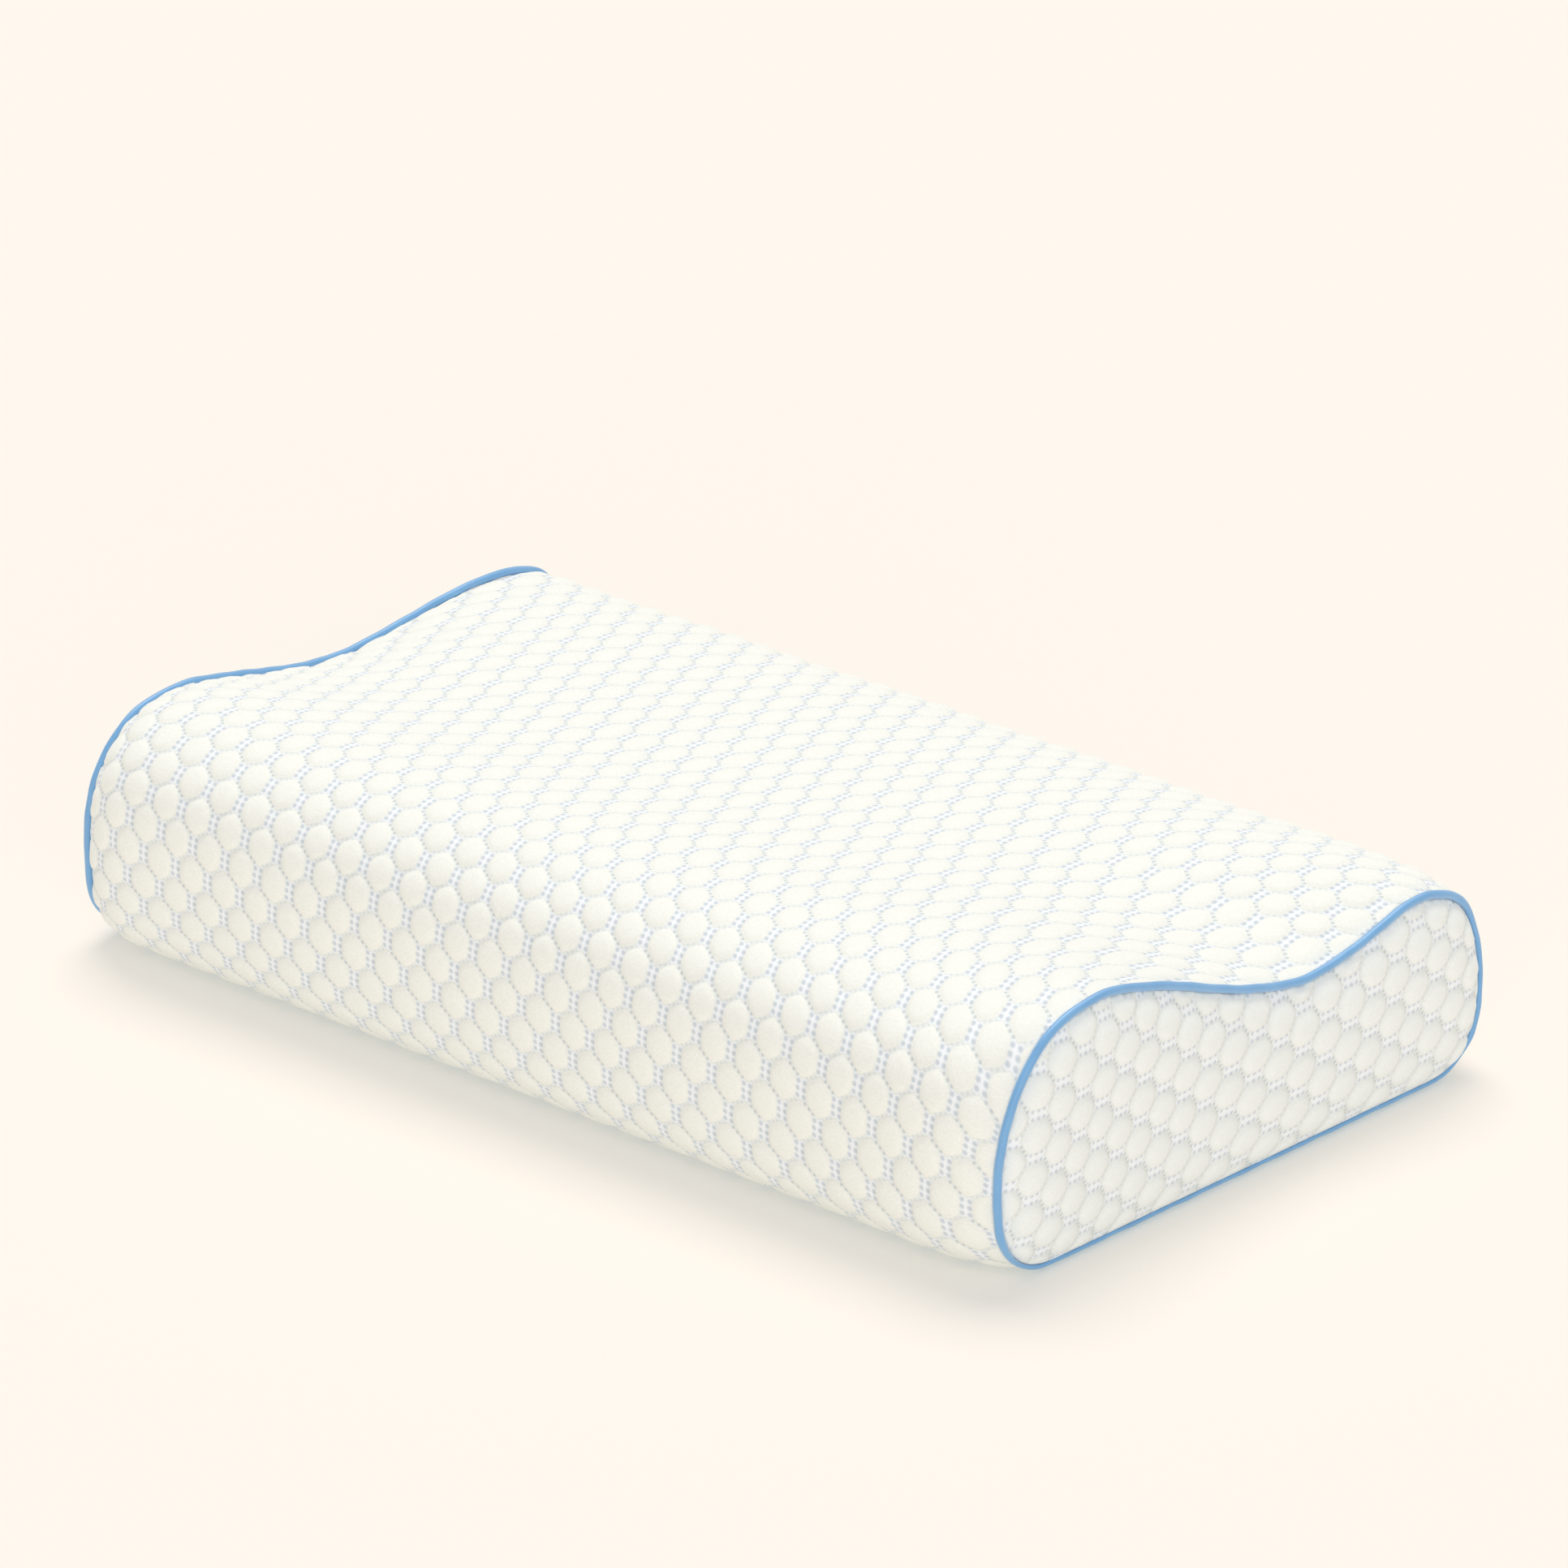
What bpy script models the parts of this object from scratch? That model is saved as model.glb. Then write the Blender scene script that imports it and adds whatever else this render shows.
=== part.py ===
"""A contour pillow in a knitted cover: a filled body in one wrap panel, two end panels and two piping cords.

The length runs along X, the high front lobe is at -Y and the flat underside lies on Z = 0.
"""

import bmesh
import bpy
from mathutils import Vector

MM = 0.001

# Driving sizes, in metres
SEAM_SPAN = 500 * MM
PIPING_DIAMETER = 3.6 * MM
CLEARANCE = 0.35 * MM
PANEL_THICKNESS = 1.9 * MM
PANEL_CROWN = 6 * MM
SECTION_STEP = 9 * MM
STATIONS_PER_HALF = 13
PIPING_SIDES = 8

# How far each ring of an end panel lies from the seam (0) towards the panel's spine (1)
PANEL_RINGS = (0.0, 0.05, 0.13, 0.25, 0.42, 0.66)
PANEL_SPINE_SHARE = 0.66
PANEL_SPINE_HEIGHT = 0.46

# The contour from the front toe over the top to the back toe, in millimetres: y and z at the left seam,
# at the right seam and in the middle of the pillow. The last two columns are how far in from each seam the
# cover takes to swell from the seam's contour to the middle's. It bridges the neck dip slowly.
CONTOUR_COLUMNS = (
    "name",
    "left_y",
    "left_z",
    "right_y",
    "right_z",
    "middle_y",
    "middle_z",
    "left_swell",
    "right_swell",
)
CONTOUR = (
    ("front_toe", -116, 2, -118, 2, -125, 0, 42, 42),
    ("front_low", -135, 11, -139.5, 14, -147.3, 10, 42, 42),
    ("front_face", -141, 40, -145.5, 42, -152.5, 44, 42, 42),
    ("front_shoulder", -135.5, 71, -138.5, 73, -147, 85, 42, 42),
    ("front_brow", -117, 90.5, -120, 96.5, -126.5, 101.5, 45, 45),
    ("front_crown", -91, 96.5, -91, 105, -97, 105.6, 50, 50),
    ("slope_top", -52, 91.3, -49.5, 97, -52, 102.2, 130, 170),
    ("slope_low", -18, 84.7, -6, 81.5, -12, 100, 118, 235),
    ("neck_dip", 6, 83.1, 37.5, 72.5, 30, 98.8, 90, 240),
    ("back_rise", 51.5, 88.3, 73, 78, 68, 97.2, 56, 130),
    ("back_crown", 88, 92.3, 104, 85.3, 100, 93.9, 64, 64),
    ("back_brow", 127, 86, 130, 77.5, 132, 83.5, 42, 42),
    ("back_face", 145, 44, 145.2, 40, 152.6, 42, 42, 42),
    ("back_low", 141, 15, 141, 15.5, 146, 12, 42, 42),
    ("back_toe", 122, 2, 121, 2, 124, 0, 42, 42),
)

KNIT_COLOUR = (0.87, 0.86, 0.78, 1.0)
PIPING_COLOUR = (0.24, 0.45, 0.70, 1.0)


def clear_scene():
    for thing in list(bpy.data.objects):
        bpy.data.objects.remove(thing, do_unlink=True)


def cloth_material(name, colour, roughness):
    material = bpy.data.materials.new(name)
    material.use_nodes = True
    shader = material.node_tree.nodes["Principled BSDF"]
    shader.inputs["Base Color"].default_value = colour
    shader.inputs["Roughness"].default_value = roughness
    shader.inputs["Metallic"].default_value = 0.0
    return material


def contour_points(x):
    """The contour's named points at the lengthwise position x, as (y, z) vectors in metres."""
    side = "right" if x > 0 else "left"
    distance_in = SEAM_SPAN / 2 - abs(x)
    points = []
    for row in CONTOUR:
        value = dict(zip(CONTOUR_COLUMNS, row))
        seam = Vector((value[side + "_y"], value[side + "_z"])) * MM
        middle = Vector((value["middle_y"], value["middle_z"])) * MM
        share = min(max(distance_in / (value[side + "_swell"] * MM), 0.0), 1.0)
        points.append(seam.lerp(middle, 1 - (1 - share) ** 3))
    return points


def tangents(points):
    """One tangent per point, per metre of chord. The first and last run level, into the flat underside."""
    result = [Vector((-1.0, 0.0))]
    for before, here, after in zip(points, points[1:], points[2:]):
        chord_in = (here - before).length
        chord_out = (after - here).length
        slope_in = (here - before) / chord_in
        slope_out = (after - here) / chord_out
        result.append((slope_in * chord_out + slope_out * chord_in) / (chord_in + chord_out))
    result.append(Vector((-1.0, 0.0)))
    return result


def hermite(start, end, start_slope, end_slope, t):
    """The point at t on a cubic span whose slopes are per unit of t."""
    return (
        start * (2 * t**3 - 3 * t**2 + 1)
        + start_slope * (t**3 - 2 * t**2 + t)
        + end * (3 * t**2 - 2 * t**3)
        + end_slope * (t**3 - t**2)
    )


def spans_of_middle():
    """How many steps each span of the contour gets, so that a point keeps its place along the whole length."""
    points = contour_points(0.0)
    return [max(1, round((b - a).length / SECTION_STEP)) for a, b in zip(points, points[1:])]


def section(x):
    """The closed section at x: the smooth contour, then the underside in even steps back to the front toe."""
    points = contour_points(x)
    slopes = tangents(points)
    loop = []
    for i, steps in enumerate(spans_of_middle()):
        chord = (points[i + 1] - points[i]).length
        for k in range(steps):
            loop.append(
                hermite(points[i], points[i + 1], slopes[i] * chord, slopes[i + 1] * chord, k / steps)
            )
    front_toe, back_toe = points[0], points[-1]
    base_steps = round((back_toe - front_toe).length / (3 * SECTION_STEP))
    loop += [back_toe.lerp(front_toe, k / base_steps) for k in range(base_steps)]
    return loop


def inset(loop, distance):
    """The loop moved inwards by a distance, square to its own line. The loop runs clockwise seen from +X."""
    moved = []
    for i, here in enumerate(loop):
        along = (loop[(i + 1) % len(loop)] - loop[i - 1]).normalized()
        inward = Vector((along.y, -along.x))
        moved.append(here + inward * distance)
    return moved


def panel_rings(side):
    """The rings of one end panel, as (crown height, loop): they close in on a short spine along the panel."""
    rim = inset(section(side * SEAM_SPAN / 2), PIPING_DIAMETER / 2 + CLEARANCE)
    top = max(point.y for point in rim)
    rings = []
    for share in PANEL_RINGS:
        rise = 1 - (1 - share / PANEL_RINGS[-1]) ** 3
        loop = []
        for point in rim:
            spine = Vector((point.x * PANEL_SPINE_SHARE, top * PANEL_SPINE_HEIGHT))
            loop.append(point.lerp(spine, share))
        rings.append((PANEL_CROWN * rise, loop))
    return rings


def add_loop(bm, x, loop):
    return [bm.verts.new((x, point.x, point.y)) for point in loop]


def bridge(bm, ring_a, ring_b):
    for i in range(len(ring_a)):
        j = (i + 1) % len(ring_a)
        bm.faces.new((ring_a[i], ring_a[j], ring_b[j], ring_b[i]))


def solid_from_rings(name, rings, material):
    """A closed body through a row of (x, loop) rings. Its two ends are flat faces."""
    bm = bmesh.new()
    rows = [add_loop(bm, x, loop) for x, loop in rings]
    for ring_a, ring_b in zip(rows, rows[1:]):
        bridge(bm, ring_a, ring_b)
    bm.faces.new(rows[0])
    bm.faces.new(reversed(rows[-1]))
    bmesh.ops.recalc_face_normals(bm, faces=bm.faces)
    bmesh.ops.triangulate(bm, faces=[face for face in bm.faces if len(face.verts) > 4])
    mesh = bpy.data.meshes.new(name)
    bm.to_mesh(mesh)
    bm.free()
    mesh.materials.append(material)
    mesh.shade_smooth()
    mesh.set_sharp_from_angle(angle=0.7)
    body = bpy.data.objects.new(name, mesh)
    bpy.context.scene.collection.objects.link(body)
    return body


def pillow_body(material):
    """The filled body in its wrap: sections from seam to seam, and at each end a crowned face behind the panel."""
    end_x = SEAM_SPAN / 2 - PIPING_DIAMETER / 2 - CLEARANCE
    stations = [end_x * (1 - (k / STATIONS_PER_HALF) ** 2) for k in range(STATIONS_PER_HALF + 1)]
    wrap = [(-x, section(-x)) for x in stations] + [(x, section(x)) for x in reversed(stations[:-1])]
    left_face = [(-end_x - crown, loop) for crown, loop in panel_rings(-1)]
    right_face = [(end_x + crown, loop) for crown, loop in panel_rings(1)]
    return solid_from_rings("pillow_body", left_face[::-1] + wrap + right_face, material)


def end_panel(name, side, material):
    """One cut panel of knit: a thin crowned sheet that lies on the body's end, inside the piping."""
    back_x = SEAM_SPAN / 2 - PIPING_DIAMETER / 2
    back = [(side * (back_x + crown), loop) for crown, loop in panel_rings(side)]
    face = [(x + side * PANEL_THICKNESS, loop) for x, loop in back]
    return solid_from_rings(name, back[::-1] + face, material)


def piping(name, side, material):
    """One closed loop of cord along the seam between the wrap and an end panel."""
    loop = section(side * SEAM_SPAN / 2)
    curve = bpy.data.curves.new(name, "CURVE")
    curve.dimensions = "3D"
    line = curve.splines.new("POLY")
    line.points.add(len(loop) - 1)
    for point, place in zip(line.points, loop):
        point.co = (side * SEAM_SPAN / 2, place.x, place.y, 1.0)
    line.use_cyclic_u = True
    curve.bevel_depth = PIPING_DIAMETER / 2
    curve.bevel_resolution = PIPING_SIDES // 2 - 2
    curve.materials.append(material)
    cord = bpy.data.objects.new(name, curve)
    bpy.context.scene.collection.objects.link(cord)
    return cord


def main():
    clear_scene()
    knit = cloth_material("honeycomb knit", KNIT_COLOUR, 0.9)
    cord = cloth_material("piping cord", PIPING_COLOUR, 0.6)
    pillow_body(knit)
    for side, word in ((-1, "left"), (1, "right")):
        end_panel("end_panel_" + word, side, knit)
        piping("piping_" + word, side, cord)


main()
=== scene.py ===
# %% [markdown]
# A contour pillow in a knitted cover
# The pillow is memory foam with a high lobe in front, a neck dip and a lower lobe behind. Its cover is sewn
# from three cut pieces of one knit: a wrap that goes once round the foam, and a panel on each end. A light
# blue cord is sewn into both end seams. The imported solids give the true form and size, and this lesson
# makes the cloth that goes over them.

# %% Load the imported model
import math

import bpy
import numpy as np
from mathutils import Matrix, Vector


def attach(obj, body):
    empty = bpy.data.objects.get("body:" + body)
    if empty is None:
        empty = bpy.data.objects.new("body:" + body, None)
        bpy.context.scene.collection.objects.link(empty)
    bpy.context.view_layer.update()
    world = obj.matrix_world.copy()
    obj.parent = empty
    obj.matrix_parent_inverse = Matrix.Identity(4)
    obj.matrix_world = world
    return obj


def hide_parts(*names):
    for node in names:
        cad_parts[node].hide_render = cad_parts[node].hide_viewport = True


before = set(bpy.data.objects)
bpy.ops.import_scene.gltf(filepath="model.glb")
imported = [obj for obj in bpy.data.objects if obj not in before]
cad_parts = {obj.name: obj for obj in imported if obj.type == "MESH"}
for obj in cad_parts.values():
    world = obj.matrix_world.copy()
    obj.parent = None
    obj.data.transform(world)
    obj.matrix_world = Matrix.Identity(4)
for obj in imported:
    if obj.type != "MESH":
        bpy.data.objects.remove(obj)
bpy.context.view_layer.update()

# %% [markdown]
# Camera
# A product picture like this is taken from far away with a long lens, so that parallel edges stay nearly
# parallel. The camera could be aimed by eye. Here its place and its turn are written as an azimuth and an
# elevation, because both can be read off the two ends of the pillow.

# %% Set up the camera
MM = 0.001
SENSOR_WIDTH_MM = 36.0
LENS_MM = 232.92
CAMERA_PLACE = Vector((2.5508, -2.7715, 1.6411))
CAMERA_AZIMUTH = math.radians(42.546)
CAMERA_ELEVATION = math.radians(22.303)

camera_data = bpy.data.cameras.new("camera")
camera_data.sensor_width = SENSOR_WIDTH_MM
camera_data.lens = LENS_MM
camera_data.clip_end = 100.0
camera = bpy.data.objects.new("camera", camera_data)
bpy.context.scene.collection.objects.link(camera)
bpy.context.scene.camera = camera
camera_back = Vector((
    math.sin(CAMERA_AZIMUTH) * math.cos(CAMERA_ELEVATION),
    -math.cos(CAMERA_AZIMUTH) * math.cos(CAMERA_ELEVATION),
    math.sin(CAMERA_ELEVATION),
))
camera.location = CAMERA_PLACE
camera.rotation_mode = "QUATERNION"
camera.rotation_quaternion = (-camera_back).to_track_quat("-Z", "Y")
print("the camera stands", round(CAMERA_PLACE.length, 2), "m away")

# %% [markdown]
# Colours
# A colour picked on a screen is an sRGB value, and a shader counts in linear light. One function turns a hex
# colour into the linear value, so every colour below can be written as it looks.


# %% Turn hex colours into linear ones
def linear(hex_colour):
    """The linear RGBA of an sRGB hex colour."""
    shown = [int(hex_colour[i : i + 2], 16) / 255 for i in (1, 3, 5)]
    return (*[c / 12.92 if c <= 0.04045 else ((c + 0.055) / 1.055) ** 2.4 for c in shown], 1.0)


print("paper white is", [round(c, 3) for c in linear("#FFF8EE")])

# %% [markdown]
# The pillow's form
# The foam's outline changes along its length: it is lowest at the sewn ends and swells towards the middle,
# where the cover also bridges the neck dip. The table gives the outline's named points at the left seam, at
# the right seam and in the middle, as it does for the solids. A cubic curve runs through the points, and
# NumPy works on all the points of a mesh at once.

# %% Write down the outline
SEAM_SPAN = 500 * MM
CONTOUR_COLUMNS = (
    "name",
    "left_y",
    "left_z",
    "right_y",
    "right_z",
    "middle_y",
    "middle_z",
    "left_swell",
    "right_swell",
)
CONTOUR = (
    ("front_toe", -116, 2, -118, 2, -125, 0, 42, 42),
    ("front_low", -135, 11, -139.5, 14, -147.3, 10, 42, 42),
    ("front_face", -141, 40, -145.5, 42, -152.5, 44, 42, 42),
    ("front_shoulder", -135.5, 71, -138.5, 73, -147, 85, 42, 42),
    ("front_brow", -117, 90.5, -120, 96.5, -126.5, 101.5, 45, 45),
    ("front_crown", -91, 96.5, -91, 105, -97, 105.6, 50, 50),
    ("slope_top", -52, 91.3, -49.5, 97, -52, 102.2, 130, 170),
    ("slope_low", -18, 84.7, -6, 81.5, -12, 100, 118, 235),
    ("neck_dip", 6, 83.1, 37.5, 72.5, 30, 98.8, 90, 240),
    ("back_rise", 51.5, 88.3, 73, 78, 68, 97.2, 56, 130),
    ("back_crown", 88, 92.3, 104, 85.3, 100, 93.9, 64, 64),
    ("back_brow", 127, 86, 130, 77.5, 132, 83.5, 42, 42),
    ("back_face", 145, 44, 145.2, 40, 152.6, 42, 42, 42),
    ("back_low", 141, 15, 141, 15.5, 146, 12, 42, 42),
    ("back_toe", 122, 2, 121, 2, 124, 0, 42, 42),
)


def columns(*names):
    """Those columns of the outline's table, in metres."""
    return np.array([[row[CONTOUR_COLUMNS.index(n)] for n in names] for row in CONTOUR]) * MM


LEFT = columns("left_y", "left_z")
RIGHT = columns("right_y", "right_z")
MIDDLE = columns("middle_y", "middle_z")
LEFT_SWELL, RIGHT_SWELL = columns("left_swell", "right_swell").T
SPANS = len(CONTOUR)


def outline_points(x):
    """The outline's named points at each lengthwise position in x, as (y, z)."""
    right = (x > 0)[:, None]
    seam = np.where(right[..., None], RIGHT, LEFT)
    share = np.clip((SEAM_SPAN / 2 - np.abs(x))[:, None] / np.where(right, RIGHT_SWELL, LEFT_SWELL), 0, 1)
    return seam + (MIDDLE - seam) * (1 - (1 - share) ** 3)[..., None]


def outline_slopes(points):
    """One direction per point. The first and the last run level, into the flat underside."""
    chord = np.diff(points, axis=1)
    length = np.linalg.norm(chord, axis=2, keepdims=True)
    ahead = chord / length
    inner = (ahead[:, :-1] * length[:, 1:] + ahead[:, 1:] * length[:, :-1]) / (length[:, :-1] + length[:, 1:])
    level = np.broadcast_to([-1.0, 0.0], (len(points), 1, 2))
    return np.concatenate([level, inner, level], axis=1)


def at_span(x, place):
    """Points on the pillow. Place counts the outline's spans, and its fraction is how far along one."""
    points = outline_points(x)
    slopes = outline_slopes(points)
    i = np.minimum(place.astype(int), SPANS - 1)
    j = (i + 1) % SPANS
    t = (place - i)[:, None]
    n = np.arange(len(x))
    start, end = points[n, i], points[n, j]
    chord = np.linalg.norm(end - start, axis=1)[:, None]
    spot = (
        start * (2 * t**3 - 3 * t**2 + 1)
        + slopes[n, i] * chord * (t**3 - 2 * t**2 + t)
        + end * (3 * t**2 - 2 * t**3)
        + slopes[n, j] * chord * (t**3 - t**2)
    )
    return np.column_stack([x, spot])


print("the outline has", SPANS, "spans, and the last one is the flat underside")

# %% [markdown]
# A tape measure round the pillow
# Cloth is laid out by distance, not by span. The tape starts at the front toe, goes up the front, over the
# top and down the back, and comes home along the underside. It is measured once, round the middle, and every
# other section is marked in the same proportions, as a wrap pulled over the foam would be.

# %% Measure round the middle
TAPE_STEPS = 60
tape_place = np.linspace(0, SPANS, SPANS * TAPE_STEPS + 1)
tape_line = at_span(np.zeros(len(tape_place) - 1), tape_place[:-1])
tape_length = np.linalg.norm(np.roll(tape_line, -1, axis=0) - tape_line, axis=1)
TAPE = np.concatenate([[0.0], np.cumsum(tape_length)])
GIRTH = TAPE[-1]
TAPE_MARKS = np.interp(np.arange(SPANS + 1), tape_place, TAPE)
PROBE = 0.3 * MM
BRIDGE = 8 * MM


def on_pillow(x, w):
    """Points on the pillow's skin at x and the tape's mark w. Cloth bridges the tightest bends."""
    spots = 0
    for step, weight in ((-BRIDGE, 0.25), (0, 0.5), (BRIDGE, 0.25)):
        spots = spots + weight * at_span(x, np.interp(np.mod(w + step, GIRTH), TAPE, tape_place))
    return spots


def outward(x, w):
    """The skin's outward direction at each point, from its neighbours on both sides."""
    inside = np.clip(x, PROBE - SEAM_SPAN / 2, SEAM_SPAN / 2 - PROBE)
    along = on_pillow(inside + PROBE, w) - on_pillow(inside - PROBE, w)
    around = on_pillow(inside, w + PROBE) - on_pillow(inside, w - PROBE)
    normal = np.cross(along, around)
    return normal / np.linalg.norm(normal, axis=1)[:, None]


print("the tape reads", round(GIRTH / MM), "mm round the middle")

# %% [markdown]
# The knit's lattice
# The cover is an air-layer knit. Padded cells stand in staggered rows, like honeycomb. Between two cells of a
# row the layers are joined by a ladder of pin holes, and between two rows they are joined by a single line
# of holes. One cell is 18.3 mm wide and a row is 12.6 mm high. On the foam the knit is stretched: rows lie
# closer at the toe and further apart on top, and columns run closer together there. Rows also run a few
# degrees out of true and sag a little, because a knit is never cut quite straight. Each line of the next
# table says so for one mark of the tape, and the hidden back and underside continue the same knit.

# %% Lay the lattice round the pillow
CELL_WIDE = 18.3 * MM
CELL_HIGH = 12.6 * MM
FINE_STEPS = 1500
CORRECTIONS = 14
KNIT_COLUMNS = ("tape", "row_pitch", "row_tilt", "row_sag", "column_pitch", "column_lean")
KNIT = (
    (0, 10.5, 6.0, 2.0, 18.6, -3.5),
    (25, 10.6, 5.9, 2.0, 18.6, -4.0),
    (45, 11.3, 5.4, 2.5, 18.5, -2.0),
    (62, 12.8, 5.7, 2.5, 18.5, 3.0),
    (80, 13.4, 5.9, 2.2, 18.5, 5.0),
    (97, 12.4, 5.3, 1.8, 18.5, -0.5),
    (115, 12.0, 4.9, 0.9, 18.3, -6.5),
    (132, 12.5, 4.8, -0.3, 18.1, -5.5),
    (150, 13.4, 5.0, -2.0, 17.8, -2.0),
    (175, 14.8, 3.8, -2.3, 17.2, -1.0),
    (200, 14.6, 2.6, -4.0, 16.8, 1.5),
    (225, 15.6, 1.1, -7.0, 16.5, -0.8),
    (265, 15.6, 1.7, -6.0, 16.4, 0.0),
    (305, 14.8, 0.5, -6.2, 16.2, 2.5),
    (345, 15.6, 1.4, -5.0, 16.4, 1.0),
    (390, 15.4, 2.5, -3.0, 17.0, 0.5),
    (440, 14.0, 4.5, 0.0, 18.0, 0.5),
    (500, 14.0, 5.5, 1.0, 18.5, 0.5),
    (720, 14.0, 6.0, 2.0, 18.6, 0.5),
)


def knit_column(name):
    """One column of the knit's table as it changes along the fine tape, starting again where it ends."""
    marks = [row[0] * MM for row in KNIT] + [GIRTH]
    values = [row[KNIT_COLUMNS.index(name)] for row in KNIT + KNIT[:1]]
    return np.interp(fine_tape, marks, values)


def summed(steps):
    """The running sum of a quantity along the fine tape, from 0."""
    return np.concatenate([[0.0], np.cumsum((steps[1:] + steps[:-1]) / 2 * np.diff(fine_tape))])


fine_tape = np.linspace(0, GIRTH, FINE_STEPS + 1)
fine_pitch = knit_column("row_pitch") * MM
fine_rows = summed(1 / fine_pitch)
ROWS = 2 * round(fine_rows[-1] / 2)
fine_rows *= ROWS / fine_rows[-1]
fine_tilt = np.tan(np.radians(knit_column("row_tilt"))) / fine_pitch
fine_sag = np.tan(np.radians(knit_column("row_sag"))) / fine_pitch / SEAM_SPAN
fine_columns = knit_column("column_pitch") * MM
fine_shift = summed(np.tan(np.radians(knit_column("column_lean"))))
fine_shift -= fine_shift[-1] * fine_tape / GIRTH


def along_tape(w, values):
    """A quantity of the fine tape at any mark, however many turns on."""
    return np.interp(np.mod(w, GIRTH), fine_tape, values)


def rows_at(w):
    """How many rows of cells lie between the front toe and the tape's mark w."""
    turns = np.floor(w / GIRTH)
    return turns * ROWS + np.interp(w - turns * GIRTH, fine_tape, fine_rows)


def tape_at(rows):
    """The tape's mark of a row, which needn't be a whole one."""
    turns = np.floor(rows / ROWS)
    return turns * GIRTH + np.interp(rows - turns * ROWS, fine_rows, fine_tape)


def lattice_of(x, w):
    """The lattice place (column, row) of the knit at x and w."""
    column = (x - along_tape(w, fine_shift)) / along_tape(w, fine_columns)
    row = rows_at(w) + along_tape(w, fine_tilt) * x + along_tape(w, fine_sag) * x * x
    return np.column_stack([column, row])


def unrolled(column, row):
    """The lengthwise position and the tape's mark of a lattice place, found by repeated correction."""
    x, w = column * CELL_WIDE, tape_at(row)
    for _ in range(CORRECTIONS):
        x = column * along_tape(w, fine_columns) + along_tape(w, fine_shift)
        w = tape_at(row - along_tape(w, fine_tilt) * x - along_tape(w, fine_sag) * x * x)
    return x, w


print(ROWS, "rows of cells go round the pillow, about", round(SEAM_SPAN / CELL_WIDE), "cells in each")

# %% [markdown]
# One padded cell
# A cell is a six-sided piece of cloth with a pad that fills it, pointed above and below like a leaf. It could
# be a displaced grid, but a grid needs ten times the faces to follow the pads' steep sides. So one cell is
# drawn as rings: its outline, which it shares with its neighbours, the foot of the pad, and two
# rings that climb to the middle. The foot is an oval that the straight joins above and below it press
# into a soft point. Where the knit is stretched over an end its pads are rounder.

# %% Draw one cell
OUTLINE_CORNERS = ((0.5, -0.29), (0.5, 0.29), (0.0, 0.71), (-0.5, 0.29), (-0.5, -0.29), (0.0, -0.71))
LADDER_SIDE, LADDER_END = OUTLINE_CORNERS[1]
STEPS_PER_SIDE = 3
PAD_HALF = np.array([6.95, 9.1]) * MM
ROUND_PAD_HALF = np.array([7.4, 7.9]) * MM
JOIN_HALF = 0.2 * MM
PAD_SOFTNESS = 9
RIB_HEIGHT = 0.3 * MM
PAD_RINGS = ((1.0, 0.0), (0.87, 0.55), (0.52, 0.9))
HIDDEN_PAD_RINGS = ((1.0, 0.0), (0.8, 0.8))


def cell_outline():
    """The points of a cell's outline, in lattice units, counter-clockwise."""
    corners = np.array(OUTLINE_CORNERS)
    after = np.roll(corners, -1, axis=0)
    steps = np.arange(STEPS_PER_SIDE) / STEPS_PER_SIDE
    return (corners[:, None] + (after - corners)[:, None] * steps[:, None]).reshape(-1, 2)


side_start = np.array(OUTLINE_CORNERS[1]) * (CELL_WIDE, CELL_HIGH)
side_end = np.array(OUTLINE_CORNERS[2]) * (CELL_WIDE, CELL_HIGH)
JOIN_ALONG = (side_end - side_start) / np.linalg.norm(side_end - side_start)
JOIN_NORMAL = np.array([JOIN_ALONG[1], -JOIN_ALONG[0]])
JOIN_DISTANCE = float(side_start @ JOIN_NORMAL)


def pad_reach(place, pad_half):
    """How near places of one cell, in metres, come to the edge of its pad. At 1 they are on it."""
    across, up = np.abs(place).T
    oval = np.hypot(across / pad_half[0], up / pad_half[1])
    join = (across * JOIN_NORMAL[0] + up * JOIN_NORMAL[1]) / (JOIN_DISTANCE - JOIN_HALF)
    return (oval**PAD_SOFTNESS + join**PAD_SOFTNESS) ** (1 / PAD_SOFTNESS)


def draw_cell(pad_rings, pad_half):
    """A cell's points in lattice units, their share of the pad's height, their rib height and the faces."""
    outline = cell_outline()
    count = len(outline)
    foot = outline / pad_reach(outline * (CELL_WIDE, CELL_HIGH), pad_half)[:, None]
    points = [outline] + [foot * share for share, _ in pad_rings] + [np.zeros((1, 2))]
    pad = [np.zeros(count)] + [np.full(count, height) for _, height in pad_rings] + [np.ones(1)]
    side, up = np.abs(outline).T
    on_ladder = np.isclose(side, LADDER_SIDE) & ~np.isclose(up, LADDER_END)
    rib = np.zeros(sum(len(p) for p in points))
    rib[:count] = on_ladder * RIB_HEIGHT
    k = np.arange(count)
    after = (k + 1) % count
    faces = []
    for ring in range(len(pad_rings)):
        outer, inner = ring * count, (ring + 1) * count
        faces.append(np.stack([outer + k, outer + after, inner + after, inner + k], axis=1))
    last = len(pad_rings) * count
    faces.append(np.stack([last + k, last + after, np.full(count, last + count), np.full(count, -1)], axis=1))
    return np.concatenate(points), np.concatenate(pad), rib, np.concatenate(faces)


for word, rings in (("visible", PAD_RINGS), ("hidden", HIDDEN_PAD_RINGS)):
    cell_points, _, _, cell_faces = draw_cell(rings, PAD_HALF)
    triangles = (cell_faces >= 0).sum() - 2 * len(cell_faces)
    print("a", word, "cell has", len(cell_points), "points and", triangles, "triangles")

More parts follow.
